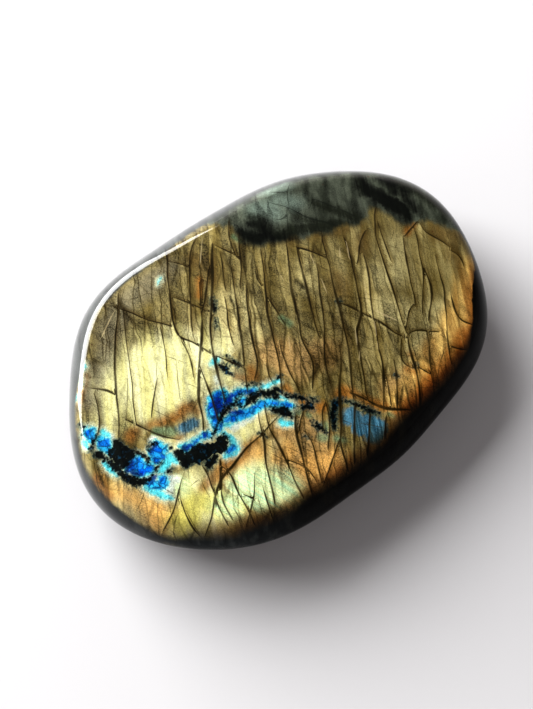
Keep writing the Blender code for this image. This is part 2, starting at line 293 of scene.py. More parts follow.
HAIRLINES = """
-41,6.3,.06 -39.5,7.2 -38,8.3 -36,10.3 -34,12.3 -31,15.5
-18.8,20.8 -18.4,19 -18.2,18.3 -17.4,19 -18.8,20.8
-17.4,19 -16.2,18.4 -15.7,17.6
-17,19.2,.07 -15.8,20.8 -14.5,22.3 -13,23
-27.5,27 -25.5,29 -23,31.3
-21,28.6,.06 -19,30.2 -16.5,31.8
-15.5,12.3,.07 -13,14.8 -11,17.2 -9,19.2
-4.2,22.8,.06 -4.1,20.2
2.8,12.3,.07 4,13.8 5,15 6,17
6.5,12.3,.06 7.2,13.5
10.3,12 11.5,13.3
12,12 13,13.8
1.3,17 1.9,14.3
-32.7,5.8 -32.2,4 -31,.5
-25,12.5 -27,10.5 -29,8.8
-7.6,2.8,.07 -7,1.3 -6.7,0 -6.8,-1.5 -6.5,-3 -6.2,-4.8
-5,11.8,.06 -5.2,10 -4.4,8
-5.3,5.5 -5,4
-2.9,5 -2.2,4 -1,3.3 0,2.8
-2.5,2.3 -3.5,.5
-10.3,-.5 -9.8,-2
-22.2,12.5,.07 -21.2,10.3 -20.6,8.8
-21.3,10.2 -23,8 -24.5,6.3 -26,4.5 -27,3
-23.3,4.3,.06 -22.7,2.8
-14,12.8,.07 -15.2,10.5 -15.8,9.5
-15,13,.06 -16.2,11.5 -17.3,10 -18,8.5
-13,7.4,.07 -12,8 -10.8,8.6 -9.8,9.2 -9.5,10
-9.5,11,.08 -8.5,12 -7,12.3 -5.5,12.3 -5,12
-1,-6.5,.06 -2.2,-9.5 -3.2,-11.5
3.6,8.3 2.5,7 1.2,5.5 .8,4.7
4,10 3.8,8.5 3.5,7.7
2.7,10 2,8.7 1.9,7.5
1,13 0,11.5 -1.3,10.2 -2,9.3
17.8,7.3,.07 16,5 14.3,2.7 12.5,.8 11,-.8 9.8,-2.3 8.7,-4 7.3,-5.8
2.5,1.3,.06 3.2,-.8
2,-1 2.1,-2.5 2,-4 1.8,-5.5
17.2,3.8 17.5,2.2 18,.8
21.8,2 22.3,0 22.8,-1.3
7.2,7 7.7,5.3 8.2,3.8
7.3,9.6 8.5,8.8 9.7,8
12,3 10.3,2.3 8.3,1.6
4.3,-4 4.7,-5.7 4.8,-7.2 5.8,-8.5
6.2,-9.3 7,-11
9,-8.5 9.8,-10.5
18.5,11.3 19,9.8
18,-7,.07 17,-7.3 16,-8.2 15.3,-9.5
15.7,-9.5 14.5,-10.5 13,-12
29.7,0,.06 28.7,-2 27.8,-3.7
27,4.8 26.3,3.5 25,1.5
32.3,-4 33,-5.5 33.8,-7
34.5,-3.8 35.5,-3.5 37,-2.3
38,-10 38.7,-12
21.6,23.3,.14 22.4,21.8 23.1,20.3 23.9,18.8 24.1,16.8 24.4,15.3 24.9,13.3 26.1,11.3 27.1,9.3 28.1,7.3
 28.6,6.3
19.4,18.6,.12 20.6,17.5 22.1,17.8 23.6,19.3
29.4,23.8,.11 27.6,22.8 26.1,21.6 24.6,19.8
24.1,25.3,.1 25.1,23.8 26.6,22.3
29.6,16.3,.12 30.6,13.3 31.6,10.3 32.4,8.3 32.8,5.8
43.1,14.3,.1 41.6,12.3 40.1,10.3 38.6,8.8
27,15.3 29.4,16.3
22.6,18.3,.07 20.6,16.3 19.1,14.6
-43,-15.2,.08 -43.6,-17 -44,-18.5 -44.2,-19.8
-41,-11,.09 -42,-12.3 -42.8,-13.6
-47,-15.3,.07 -46,-14.8 -44.5,-14.2
-36.2,-12.7,.08 -36.8,-13.8 -37.2,-15 -37.5,-16.3
-38.7,-12,.07 -37.5,-12 -36.5,-12.3
-35.7,-21.5 -36,-23 -36.3,-24.5 -36.5,-25.5
-32.5,-20.3,.06 -33.7,-20.8 -35,-21.3
-30.5,-23.8,.08 -31.2,-25 -32,-26.2 -32.4,-27
-27,-24.4 -28,-26 -28.9,-27.5
-21.2,-17 -21,-18.2 -20.5,-19.3 -20.1,-20
-22,-19,.07 -21.5,-20.3 -21.2,-21.8 -20.8,-23
-18.7,-20.5 -18,-21.5 -17.6,-22.8 -17.5,-24
-16.5,-23 -15.8,-24.3 -15.3,-25.5
-5.7,-25.3,.08 -4.9,-27.2
-3.5,-28.5 -2.5,-29.7 -2,-30.5 -1.5,-31.5 -.8,-32.5
-2.9,-30.5 -3.8,-32 -4.2,-33.3
3.3,-20.6,.07 2.2,-21.3 1.3,-22
7.5,-18 6.2,-19 5,-20 3.5,-20.7
8.5,-12.5,.06 7,-12.7 7.3,-13.7
9.8,-12,.07 10.8,-13.5 11.8,-15.5
9.7,-16.8 10.3,-18.2 10.7,-19.5
.8,-17 1.1,-18.5 1,-20 .5,-22
27,-19.5 25.8,-21.5 24.7,-23 23.4,-24.4
26,-27.5,.08 25,-28.7
24.3,-27.5,.07 24.4,-29
23,-30,.08 21.3,-30.7 20,-31.3 18,-32.3 16,-33.8
14,-32,.07 14.5,-33.5 15.5,-34.5
28.3,-22.5,.08 27.3,-23.7 26.3,-25 25.5,-26.3
-50.5,-7.5,.06 -48,-7 -46.5,-6 -45.8,-5.5
-42,-4.3,.07 -40.5,-4 -39.5,-4.2 -38.5,-3.8
-41.5,2,.08 -41.2,0 -41,-1.5 -40.5,-3
-43.3,-6,.07 -43,-8 -42.7,-9.5 -42.2,-11
-24.5,0 -25.7,-.3 -27.2,-.8
"""

HEALED = """
-29,26.2,.12 -27,27 -25,28 -22.5,28.8
-1,23.3,.1 .5,24.6 2,26 4,27.6
0,-3.7 -1.3,-5 -2.3,-6.3
9.5,8,.09 9,6.5
18,6.5,.12 17,4.5
15.2,.5 13.5,-2.8
21.5,-7,.1 18,-11
24,3,.12 22,1
26.3,3 23.5,-.5
18.2,-13.5,.16 18.8,-15.5 19.3,-17.3 19.7,-18
12,-12.7,.12 11,-13.7 10,-14.8 9.3,-15.7
8.3,-17.4,.1 7.7,-17.8 6.8,-18.6
12.7,-18.7 11.7,-19.7
16,-14.8 14.9,-16.2 13.9,-17.4
-48.2,-14.7,.08 -48,-16
"""

INK = """
-45.4,15.2,.2 -45.2,14,.3
-46.8,13,.15 -46.4,13.1
-47.8,9,.2 -46.2,9.8,.3 -45,10.2,.2 -44.2,10.7,.25
-48,8,.2 -47.2,7.3,.8 -46.8,6.2,.6 -47,5,.3
-45,5,1.2 -43.3,5.2,1.3 -42.8,6.2,.8
-45,3,1.5 -43.1,3,1.9 -42,2,.9
-45,1.8 -43,1.9,.6
-46.8,5,.35 -46.5,3,.8 -46.6,1,.6 -46.5,-.5,.7 -46,-2,.9 -45.2,-3.5,.8 -44,-4.2,.6
-43.4,-4.6,.4 -42,-4.2,.25 -40.6,-3.9 -39,-4,.12
-41.6,2.1,.4 -40.9,1,.3 -40.6,0 -40.7,-1.2,.4 -41,-2,.2
-39,.2 -38.4,.6,.3 -37.5,.4,.25 -37,0,.15
-39.4,-6.1,.25 -38.5,-6.5
-35.8,-2.7,.2 -35.4,-3,.25
-35.3,-4.8,.8 -35,-5.8,.9 -35.3,-7.4,1.3 -34,-7.5,1.5 -32,-8.6,2.4 -30.5,-9.2,2.6 -29.5,-9.5,2.3
 -27.5,-10,1.7 -26.7,-9.6,1.3
-32.2,-11.2,1 -30.5,-11.3,.8
-28,-7.9,.2 -26.6,-7.3,.25 -25,-6.6,.2 -23.5,-6,.3 -22,-5.6,.55 -20.5,-5.5,.5 -19.2,-5.8,.3
 -17.6,-5.5,.2 -16.2,-5.4,.12
-19.2,-6.2,.3 -18.5,-7.2,.25 -18.3,-8,.15
-17.3,-7.7,.3 -16.3,-7.8,.7 -15.3,-7.6,.9 -14.3,-8,.7 -13.2,-8.4,.6 -12.8,-9.3,.8 -11.8,-10
 -11.6,-11,.7
-15.8,-8.4,.6 -15.4,-7,.4
-11,-10,.5 -10.4,-9.8,.4 -10.2,-11,.35 -10,-12.4,.3 -9.6,-13.4,.35 -9,-14,.4 -8.4,-14.8,.35
 -7.8,-15.8,.3 -7.5,-16.8,.35 -7.6,-18,.4
-14.6,-4.3,.12 -14.2,-5.1,.22 -13.2,-5.4,.15 -12.6,-6.3,.12 -12.2,-7
-14.3,-12,.3 -14,-13.2,.6 -13,-14.3,.9 -12.6,-15.6,.8 -12.6,-16.5,.4
-9.2,-17,.5 -8.4,-17.7,.6 -8,-18.6,.5
-15.2,2.2,.3 -14.9,1.2,.7 -15,.2,.4 -14.7,-.8,.25
-14.2,1.6,.3 -14,.9,.15
-12.6,3.2 -12.6,2.7,.3
-12.5,1.2,.35 -12.5,.4,.45 -12.4,-.4,.2
-20.1,-14.2,.15 -19.8,-14.8,.3 -19.8,-15.5,.15
-8.4,-8.4,.2 -7.6,-8.6,.25
-6.5,-16.3,.1 -6.3,-17.6 -5.9,-18.2,.12
-7.2,-16.3,.15 -6.8,-17.8
-10.3,-21,.3 -10,-22.1,.65 -10.1,-23.3,.3 -9.9,-24.5,.2
-7.8,-24.8,.4 -6.6,-23.4,.6 -5.1,-22.1 -3.6,-21.4,.7 -2.4,-21.8,.5
-1.8,-22.6,.25 -.9,-24.3 -.4,-25.8,.3 .2,-27.3,.45 .7,-28.6,.4 1.2,-29.5,.2
-4.9,15.1,.15 -5.5,14.2,.4 -6.3,13.3,.35 -6.9,12.5,.15
-8.2,10.9 -8.8,10,.3 -9.3,9.2,.15
15.1,-28.1,.35 15.3,-28
14.2,-5.7,.2 14.4,-6
10.6,-26.5,.25 10.4,-26.8,.2
-13.5,-21.8 -13.4,-22.3,.25
"""

GLOOM = """
11.6,22.4,1.4 11.8,20.3,2 13,18.2,2.2 15,17.6,1.6 15.4,20.3,1.5 14.1,22.6,1.2
15.1,15.8 16.8,14.4,1.3 18.2,12.6,1 19,11.6,.4
38.4,4.6,.9 39.8,5.8,1.8 41.6,2.6,2.8 42.2,-.7,2.5 41.1,-3.2,1.5
44.6,4 46.1,4.2,1 44.1,-2.7,1.4
42.6,14,.8 41.4,11.6,1.5 40.4,8.8,2 40.8,6,2.4
44.6,9.6,.8 45.6,6.4,1.3 46.2,2.6,1.5
"""

SAND = """
20,-14,3 21.5,-17,2.5
25,-8,2.6 29,-10,2 34,-5,1.6
-8,5,4 -3.5,9 -9,0,2 -4.5,2.5
19,-27,2.5 24,-26 28,-24
12,2.5,1.5 15,5,1.2
"""

HONEY = """
-50,-2,1.4 -49,-5,1.8 -48,-8.5,2.2 -47.4,-11.5 -46,-13.5,1.6
-22,-21,1.2 -19,-21.5
-29,-13.6,.8 -31.5,-16.4,1 -26,-16,1.2 -23,-17.5,1.4
-18,-27,2.2 -15,-29.5,1.8 -12.5,-30,1.5
"""

BROWN = """
0,-12,1.6 4,-14 8,-12.5,1 11,-9,.6
16,-4.5,1.8 18.5,-2,1.5
27.5,-.5 29.5,1.5,1.2
-13.5,-5,1.4 -11,-7,1.2
-2,19.5,1.6 -.8,23,1.8 -1,26,1.4
43.5,-10.5,2 45.2,-13.5 41.5,-16.5,1
-41,17,1.6 -38,19.8,2 -35,21.5,1
16.5,13.6,.3 22,9.4 27,6.2 31,4.4
"""

# Painted haze: a pale grey patch in place of the window's blurred reflection, under the highlight on the
# upper bevel.
PAINTED_HAZE = """
-31,22,2 -26,26.5,2.5 -20,28.5,2 -13,28.5,2.5 -6,27.5,1.5
-40.5,17.5,2 -38,20,2.4 -35,21.5,1.6
"""

WEDGES = """
16.5,15.6,1 20,13.6,1.5 23.6,11.6,2 26.6,9.2,1.8 29,7.6,1.2
28.5,16.6,.4 29.6,13,1.2 31.2,9.4,1.4 32.6,5.6
23.6,15,.5 25,11.6,1.2 27.2,8.6,1.4 30,6,1
41,12.4,.8 39.6,9.4,1.2
46.5,8 48.5,2 49,-4,1.6 49.6,-8,1.2
17,22,.6 16,23.6,.8
"""

SLATE_LIGHT = """
18.1,24.3,1.4 20.6,22.3,1.8 20.4,19.8,1.4
24.6,26.3,2.4 27.6,24.8,1.8
23.6,22,1.2 26.1,18.3,.8
"""

AZURE = """
-45.3,12,1.2 -45.8,10.9,.9
-44.6,9.2 -44.8,7.6,1.4 -45,6.3,.7
-44,.2,1.3 -42.5,0
-43.3,-1.6,1.5 -42,-2.8,1.2 -41.6,-3.3,.8
-38.5,-1.4,1.4 -37.2,-1.8,1.2
-39.4,-2.4,1.1 -38,-2.8,.9
-37,-.3,.7 -36.7,-2.4,.6
-43.8,-5.3,.9 -43.5,-6.5,.8 -42.2,-7.2,1 -41.3,-6.6,.9
-33.4,-5.3,.7 -32,-5.8,.6 -30,-6,.3 -28.6,-6.2,.5 -27.9,-6.8,.4
-25.8,-7,.5 -25,-5.9,.8 -24,-4.5,1.1 -23,-3.5,1.5 -21.5,-3,1.9 -19.8,-3,1.6 -19.5,-4.8,1
-17.8,-4.6,.6 -16.6,-4.8,.7 -15.8,-5.4,.5 -14.6,-6.4,.6 -13.8,-7,.3
-18.2,-6.9,.7 -17.3,-6.6
-23,-7.2,.5 -21.5,-8,1 -20,-8.5,1.1 -18.5,-9.4,.9 -16.8,-9.9,.8 -15.3,-10.2 -14,-11,.7 -13,-12.2
 -12.2,-13.2,.6 -11.4,-14.2,.7 -11,-15,.5
-27.3,-12.5,.7 -26.2,-12.6,.8
-26,-8,.3 -24.4,-6.9,.5
"""

NAVY = """
-44.2,.8,.6 -43.2,.9,.5
-45.2,0,.4 -44.4,-1.6,.5 -43.6,-2.6,.4
-43.2,-4.9,.7 -42.4,-5,.4
-38.8,-.4,.3 -37.4,0,.4
-33.2,-5.4,.5 -32.4,-5.7,.4
-28.4,-6.4 -27.9,-6.8,.3
-23.8,-5,.4 -22.6,-4,.9 -21.5,-3 -20.8,-2.3,.4
-22.5,-4.8,.7 -20.5,-4.6 -19,-4.6,.5 -18.2,-4.2,.4
-21,-6.7,.3 -20.3,-7.5,.5 -19.4,-8.3,.4
-15.6,-6.2 -14.6,-6.8
"""

CYAN = """
-40.4,-5,.7 -38.6,-4.7,1 -37,-4.4 -36.8,-5.8,.5
-43.2,10,.7 -42.8,8.6,.5
-47.4,4.8 -47.6,3 -47.4,1.2,.25
-45,-5,.5 -44.4,-7.2,.7 -43.6,-9.3,.6 -42.8,-10.8,.3
-47.6,10.4,.5 -47.2,11.4
-34,-4,.3 -33,-4.6 -30,-5.5,.25
-25.6,-8.5,.4 -25,-10.5,.5 -25.6,-12.4,.7 -26.4,-13.3 -28.6,-12.6,.4
-24,-7.8,.6 -22.6,-8.6,.5
-12.3,-7.6,.35 -11,-8.4,.4 -9,-9
-11,-12.2,.3 -10.8,-13.2
-15,-15.8,.6 -14.5,-16.8 -13.6,-17.8,.4
-16.2,4,.5 -14.8,3.9
-10.8,26.7,0 -10,27.1,.05 -9.2,27.4,0
-42.5,20.2,.05 -41.4,20.7,.15
-39.4,21.5,.05 -38.6,22.2,.2 -38,22.6,.05
-36.4,23.6 -35.4,24.4,.15
"""

WHITE = """
-43,-9.6,.6 -41.6,-8.8,.9 -40.4,-7.8,1 -39.4,-8.8,.6
-23,-9.2,1 -21,-10,.7 -18.5,-10.8,.4
-37.2,1.4,.2 -36.4,1.2
-42.9,9,.4 -42.4,7.8,.3
-18.4,.2,.2 -17.6,1.4
"""

STEEL = """
-31.2,-2,1.1 -30,-2.5,1.5 -28.8,-2.9,1.2
-4.8,-26,1.3 -3.4,-25.4,1.4 -3.8,-28.5,2.4 -2.2,-30.5,2.3 -1.4,-32.3,1.8 -3.5,-32,1.9
"""

TEAL = """
-15.2,-15.8,.7 -14.6,-17,.6 -13.8,-18,.4
-10.2,-19 -10.1,-19.6
-9.6,-27,.7 -8.9,-28.3,.5
-16,4.5,.3 -15,3
-35.6,1.6,.8 -34,-.2,1 -32.8,-1.2,.7
-11.9,-24.3 -11.2,-25.3,.6
-9.1,-23.2,.5 -9.6,-24
-12,-16.4,.8 -11.3,-17.4,.6
9.3,22.8,.4 9.5,20.5,.3
2,.5,.5 2.2,-2,.7
2.4,-31.4,.3 2.8,-32.5
48,-9,.9 48.1,-12.5,.5
35,9.5,2.2 34,11,1.8
"""

LIME = """
-46,-14.5,1.4 -43.6,-16.4,2 -40.5,-15.4 -38,-18,1.8
-36.5,-19.6,1.5 -34.6,-21.6,1.2
"""

GOLD = """
-40.5,11.5,2 -34.5,14.5,4.6 -29,13,7 -22,10,6.5 -16,6,4.5
-33,8,4 -26,6,4.5 -20,3.5,4
-49,-3,1.8 -48.6,-7,2.2
-43,-14.5,3 -38,-14.5,3.5 -40,-18.5
-29,-17 -24.5,-18,3
-25,-11.5,2.5 -19.5,-11.8,1.8
-35,-3.4,1.2 -30,-5,1 -26.5,-3.5
-16,-2.5,1.2 -17.5,1,1.6
"""

MINT = """
-37.6,-19,.7 -35.5,-20.8,1.6
-31.5,-20.5,3.4 -28.5,-23,3.6 -26.4,-26,3.4 -25.5,-28,2.4
-41.6,-9.2,1 -40.4,-9.8
"""

AMBER = """
43.5,-20.5,1.4 40,-23.5,2.8 35,-27,3.5 29,-29,4 22,-30.5 15,-31,3.5 9,-31.5,3 5.5,-30.5,2
-50.5,2.5,1 -51,-1
"""

RUST = """
-37,-14.2,.7 -33.5,-14.4,1.1 -30,-14.8,1.2 -26,-14.8,.8 -22,-15,.6
-40,5,1 -38.5,4.8,.8
-35.5,3.6,.6 -32,1.8,.9 -29.5,.8,1 -27.8,1,1.1 -26.6,-.2,1 -26.4,-1.8,.6
-33.4,-3,.5 -32.4,-3.2,.3
-14.8,-2,.6 -13.8,-3.6,.7 -12.4,-4.6,.9 -11.6,-3,.7
-9.2,-11.6,.9 -9.2,-14.6,.5 -8.8,-16.4,.8 -8.4,-18.4,1 -7,-20
-7,17.5,.3 -4,20.5
38.5,-5.2,.6 41,-4.9
-2.5,-20.8,1.1 -.5,-21.7,1.2 .6,-24,.9 1.6,-27,.8 3,-30,.9
28,-31,1.4 22,-32.4,1.6 14,-33 8,-33,1.4 4,-32,1
-51.2,3,.9 -52,-1,.8
-42,19.3,.6 -38,22.3,.5
12.8,-27.3,.6 13.2,-28.6,.4
15.8,-25.7 15.9,-25.9,.3
"""

TAN = """
-23,-21,2.2 -19.5,-23,3 -16,-27,3.6 -13,-22,3.5 -18,-17,3 -18,-13,1.6 -20,-28,2
8,-28 13,-29.5
-3,-10,3 -6,-4 2,-12,2.5
"""

SLATE_EDGE = """
7,31,.5 9,27 10.6,25 9.6,20 11,16.8 14.5,14.6 17.5,12.6 20,10.7 22,9.2 24,7.9 25.5,6.8 27.3,6.3 30,5.3
 31.5,3.8 33,3.3 35,3.8 36.5,4.6 37.8,4 38.5,0 39,-4 42,-5 44.5,-8 46.5,-12 48.5,-13.5 53,-15
"""

FLASH_EDGE = """
-20,32,.5 -24,31.8 -27,31 -30,29 -32.5,27 -35,25,.4 -37.5,23.6 -40.5,21.5,.5 -43.5,19 -46.5,15.5,.6
 -49,12,.7 -51,8 -52,4,.6 -52.5,0,.5 -52.3,-4,.4 -51.7,-8 -50.6,-12,.5 -49.3,-14.8,.6 -48,-16.6,.8
 -46,-18.3,1 -44,-20.2,1.3 -42,-22,1.5 -40,-23.9 -38,-25.5 -36,-26.3 -33,-27.7,1.6 -30,-29.1 -27,-30
 -24,-30.4,1.4 -20,-31.5,1.2 -16,-32.5,1.4 -12,-33,1.6 -8,-33.4,1.7 -5,-33.7 -2,-34.2,1.5 2,-33.6
 6,-33.6,1.6 10,-33.9,1.7 14,-34.1 18,-34.2 22,-33.8,1.5 26,-33.2,1.2 29,-32,.7 31,-30.9,.4
 32.5,-30.1,.25 34,-28.7,.2 36,-26.9 38,-25.3 40,-24,.25 42,-22.6,.4 44.2,-21.3,.8 46,-19,.6
 47.6,-16,.5 48.6,-12,.6 50.5,-8,.8 51.5,-3 50.5,3 47.5,9 43,14.5,1 37,20 30,24.5 22,27.5 14,29.5,.8
 6,31 0,31.5 -6,31.3,.7 -12,31.8,.6 -16,32.2,.5 -20,32
"""


def strokes_in(text):
    """The strokes of one kind, one by one: runs of points, each with its half width last."""
    half = 0.0
    for line in text.replace("\n ", " ").strip().splitlines():
        points = []
        for word in line.split():
            x, y, *given = (float(number) for number in word.split(","))
            half = given[0] if given else half
            points.append((x, y, half))
        yield points


def rounded(points):
    """More points along a stroke, on a smooth curve through the given ones."""
    run = np.array([2 * np.array(points[0]) - points[1], *points, 2 * np.array(points[-1]) - points[-2]])
    line = []
    for a, b, c, d in zip(run, run[1:], run[2:], run[3:]):
        steps = max(1, round(math.dist(b[:2], c[:2]) / STROKE_STEP))
        for t in np.arange(steps) / steps:
            bend = (2 * a - 5 * b + 4 * c - d) * t * t + (3 * b - a - 3 * c + d) * t**3
            line.append(b + 0.5 * ((c - a) * t + bend))
    line.append(run[-2])
    return np.array(line)


def eased(line):
    """The same run of points with its small wiggles taken out, and its ends kept."""
    padded = np.pad(line, ((EASE_STEPS, EASE_STEPS), (0, 0)), mode="reflect", reflect_type="odd")
    window = np.ones(2 * EASE_STEPS + 1) / (2 * EASE_STEPS + 1)
    return np.stack([np.convolve(column, window, mode="valid") for column in padded.T], axis=1)


def stroke_mesh(name, text, cracks=False, shift=READING_SHIFT):
    """The strokes as an object of loose edges that know where they run and how wide they are.

    Cracks are roughened a little, and all turned to run one way, so that their painted highlight and
    painted shade fall on the same sides.
    """
    chance = np.random.default_rng(CRACK_SEED)
    places, edges, starts, runs, widths = [], [], [], [], []
    for points in strokes_in(text):
        line = rounded(points)
        if cracks:
            heading = Vector(line[-1][:2] - line[0][:2])
            if heading.dot(CRACK_HEADING) < 0:
                line = line[::-1]
            part = np.linspace(0, 1, len(line))
            line = eased(line) if len(line) > EASE_STEPS else line
            line[:, :2] += chance.normal(0, CRACK_JITTER, (len(line), 2))
            swell = 1 + CRACK_SWELL * np.sin(chance.uniform(0, 6) + part * chance.uniform(5, 14))
            taper = CRACK_TIP + (1 - CRACK_TIP) * np.sin(math.pi * part) ** CRACK_TAPER
            line[:, 2] *= swell * taper
        line[:, :2] += shift
        first = len(places)
        places += [(x, y, 0.0) for x, y, half in line]
        for step in range(len(line) - 1):
            here, there = line[step], line[step + 1]
            edges.append((first + step, first + step + 1))
            starts.append((here[0], here[1], 0.0))
            runs.append((there[0] - here[0], there[1] - here[1], 0.0))
            widths.append((here[2], there[2], 0.0))
    mesh = bpy.data.meshes.new(name)
    mesh.from_pydata(places, edges, [])
    for title, values in (("start", starts), ("run", runs), ("width", widths)):
        attribute = mesh.attributes.new(title, "FLOAT_VECTOR", "EDGE")
        attribute.data.foreach_set("vector", np.array(values, np.float32).ravel())
    drawing = bpy.data.objects.new(name, mesh)
    bpy.context.scene.collection.objects.link(drawing)
    return drawing


class Signal:
    """A socket of a node tree. Sums on it are written as Python expressions."""

    def __init__(self, tree, socket=None):
        self.tree = tree
        self.socket = socket

    def node(self, kind, values=None, out=0, **settings):
        """Add a node, set it up, feed its sockets, and give back the chosen output."""
        made = self.tree.nodes.new(kind)
        for name, value in settings.items():
            setattr(made, name, value)
        for place, value in (values or {}).items():
            if isinstance(value, Signal):
                self.tree.links.new(value.socket, made.inputs[place])
            else:
                made.inputs[place].default_value = value
        return Signal(self.tree, made.outputs[out])

    def math(self, operation, first, second=0.0):
        return self.node("ShaderNodeMath", {0: first, 1: second}, operation=operation)

    def __add__(self, other):
        return self.math("ADD", self, other)

    __radd__ = __add__

    def __sub__(self, other):
        return self.math("SUBTRACT", self, other)

    def __rsub__(self, other):
        return self.math("SUBTRACT", other, self)

    def __mul__(self, other):
        return self.math("MULTIPLY", self, other)

    __rmul__ = __mul__

    def __truediv__(self, other):
        return self.math("DIVIDE", self, other)

    def __abs__(self):
        return self.math("ABSOLUTE", self)

    def lowest(self, other):
        return self.math("MINIMUM", self, other)

    def highest(self, other):
        return self.math("MAXIMUM", self, other)

    def rise(self, low, high):
        """0 below low, 1 above high, and a soft climb between them."""
        values = {"Value": self, "From Min": low, "From Max": high}
        return self.node("ShaderNodeMapRange", values, interpolation_type="SMOOTHSTEP")

    def part(self, axis):
        return self.node("ShaderNodeSeparateXYZ", {0: self}, out=axis)

    def vector(self, operation, other=None, scale=None, out=0):
        values = {0: self}
        if other is not None:
            values[1] = other
        if scale is not None:
            values["Scale"] = scale
        return self.node("ShaderNodeVectorMath", values, out=out, operation=operation)

    def paint(self, under, over):
        """The colour over where this mask is 1, and the colour under where it is 0."""
        values = {0: self, 6: under, 7: over}
        return self.node("ShaderNodeMix", values, out=2, data_type="RGBA")


def nearest_stroke_group():
    """A group that stores, for every corner, its offset from the nearest stroke of one kind.

    The stored vector holds the offset with its side as sign, the stroke's half width
    there, and the gap to the stroke's edge, which is below 0 inside the stroke.
    """
    tree = bpy.data.node_groups.new("nearest_stroke", "GeometryNodeTree")
    for name, kind in (
        ("Skin", "NodeSocketGeometry"),
        ("Strokes", "NodeSocketObject"),
        ("Title", "NodeSocketString"),
        ("Place", "NodeSocketVector"),
    ):
        tree.interface.new_socket(name, in_out="INPUT", socket_type=kind)
    tree.interface.new_socket("Skin", in_out="OUTPUT", socket_type="NodeSocketGeometry")
    base = Signal(tree)
    ends = tree.nodes.new("NodeGroupInput")
    skin, strokes, title, place = [Signal(tree, ends.outputs[spot]) for spot in range(4)]
    drawn = base.node("GeometryNodeObjectInfo", {0: strokes}, out="Geometry")
    sample = {"Geometry": drawn, "Sample Position": place}
    index = base.node("GeometryNodeSampleNearest", sample, domain="EDGE")

    def on_edge(name):
        own = base.node("GeometryNodeInputNamedAttribute", {"Name": name}, data_type="FLOAT_VECTOR")
        values = {"Geometry": drawn, "Value": own, "Index": index}
        return base.node("GeometryNodeSampleIndex", values, data_type="FLOAT_VECTOR", domain="EDGE")

    start, run, width = on_edge("start"), on_edge("run"), on_edge("width")
    away = place.vector("SUBTRACT", start)
    dot = away.vector("DOT_PRODUCT", run, out="Value")
    length = run.vector("DOT_PRODUCT", run, out="Value")
    along = (dot / length).highest(0).lowest(1)
    offset = away.vector("SUBTRACT", run.vector("SCALE", scale=along))
    distance = offset.vector("LENGTH", out="Value")
    side = run.vector("CROSS_PRODUCT", offset).part(2)
    half = width.part(0) + along * (width.part(1) - width.part(0))
    signed = distance * base.math("SIGN", side)
    stored = base.node("ShaderNodeCombineXYZ", {0: signed, 1: half, 2: distance - half})
    values = {"Geometry": skin, "Name": title, "Value": stored}
    kept = {"data_type": "FLOAT_VECTOR", "domain": "POINT"}
    result = base.node("GeometryNodeStoreNamedAttribute", values, **kept)
    finish = tree.nodes.new("NodeGroupOutput")
    tree.links.new(result.socket, finish.inputs[0])
    return tree


def marking_tree(titles):
    """The tree that goes through the kinds of strokes and ends with the stone's material."""
    group = nearest_stroke_group()
    tree = bpy.data.node_groups.new("markings_of_the_stone", "GeometryNodeTree")
    tree.interface.new_socket("Skin", in_out="INPUT", socket_type="NodeSocketGeometry")
    for title in titles:
        tree.interface.new_socket(title, in_out="INPUT", socket_type="NodeSocketObject")
    for name in ("Start of the lean", "Lean to +X", "Lean to +Y"):
        tree.interface.new_socket(name, in_out="INPUT", socket_type="NodeSocketFloat")
    tree.interface.new_socket("Polish", in_out="INPUT", socket_type="NodeSocketMaterial")
    tree.interface.new_socket("Skin", in_out="OUTPUT", socket_type="NodeSocketGeometry")
    base = Signal(tree)
    ends = tree.nodes.new("NodeGroupInput")
    given = {socket.name: Signal(tree, socket) for socket in ends.outputs if socket.name}
    place = base.node("GeometryNodeInputPosition").vector("SCALE", scale=1 / MILLIMETRE)
    depth = (given["Start of the lean"] - place.part(2)).highest(0)
    x = place.part(0) + depth * given["Lean to +X"]
    y = place.part(1) + depth * given["Lean to +Y"]
    place = base.node("ShaderNodeCombineXYZ", {0: x, 1: y, 2: 0.0})
    skin = given["Skin"]
    for title in titles:
        values = {"Skin": skin, "Strokes": given[title], "Title": title, "Place": place}
        skin = base.node("GeometryNodeGroup", values, node_tree=group)
    skin = base.node("GeometryNodeRealizeInstances", {0: skin})
    skin = base.node("GeometryNodeSetMaterial", {0: skin, "Material": given["Polish"]})
    finish = tree.nodes.new("NodeGroupOutput")
    tree.links.new(skin.socket, finish.inputs[0])
    return tree


VIEW_GAMMA = 0.78
LIGHT_SHARE = 0.57


def shade(red, green, blue):
    """A colour given as it looks in the finished picture, 0 to 255, as the skin's own colour."""
    seen = [(part / 255) ** VIEW_GAMMA for part in (red, green, blue)]
    linear = [((part + 0.055) / 1.055) ** 2.4 if part > 0.04 else part / 12.92 for part in seen]
    return (*(LIGHT_SHARE * part for part in linear), 1.0)


STREAK_TURN = math.radians(-52)
STRIAE_TURN = math.radians(77)
STRIP_WIDTH = 3.1


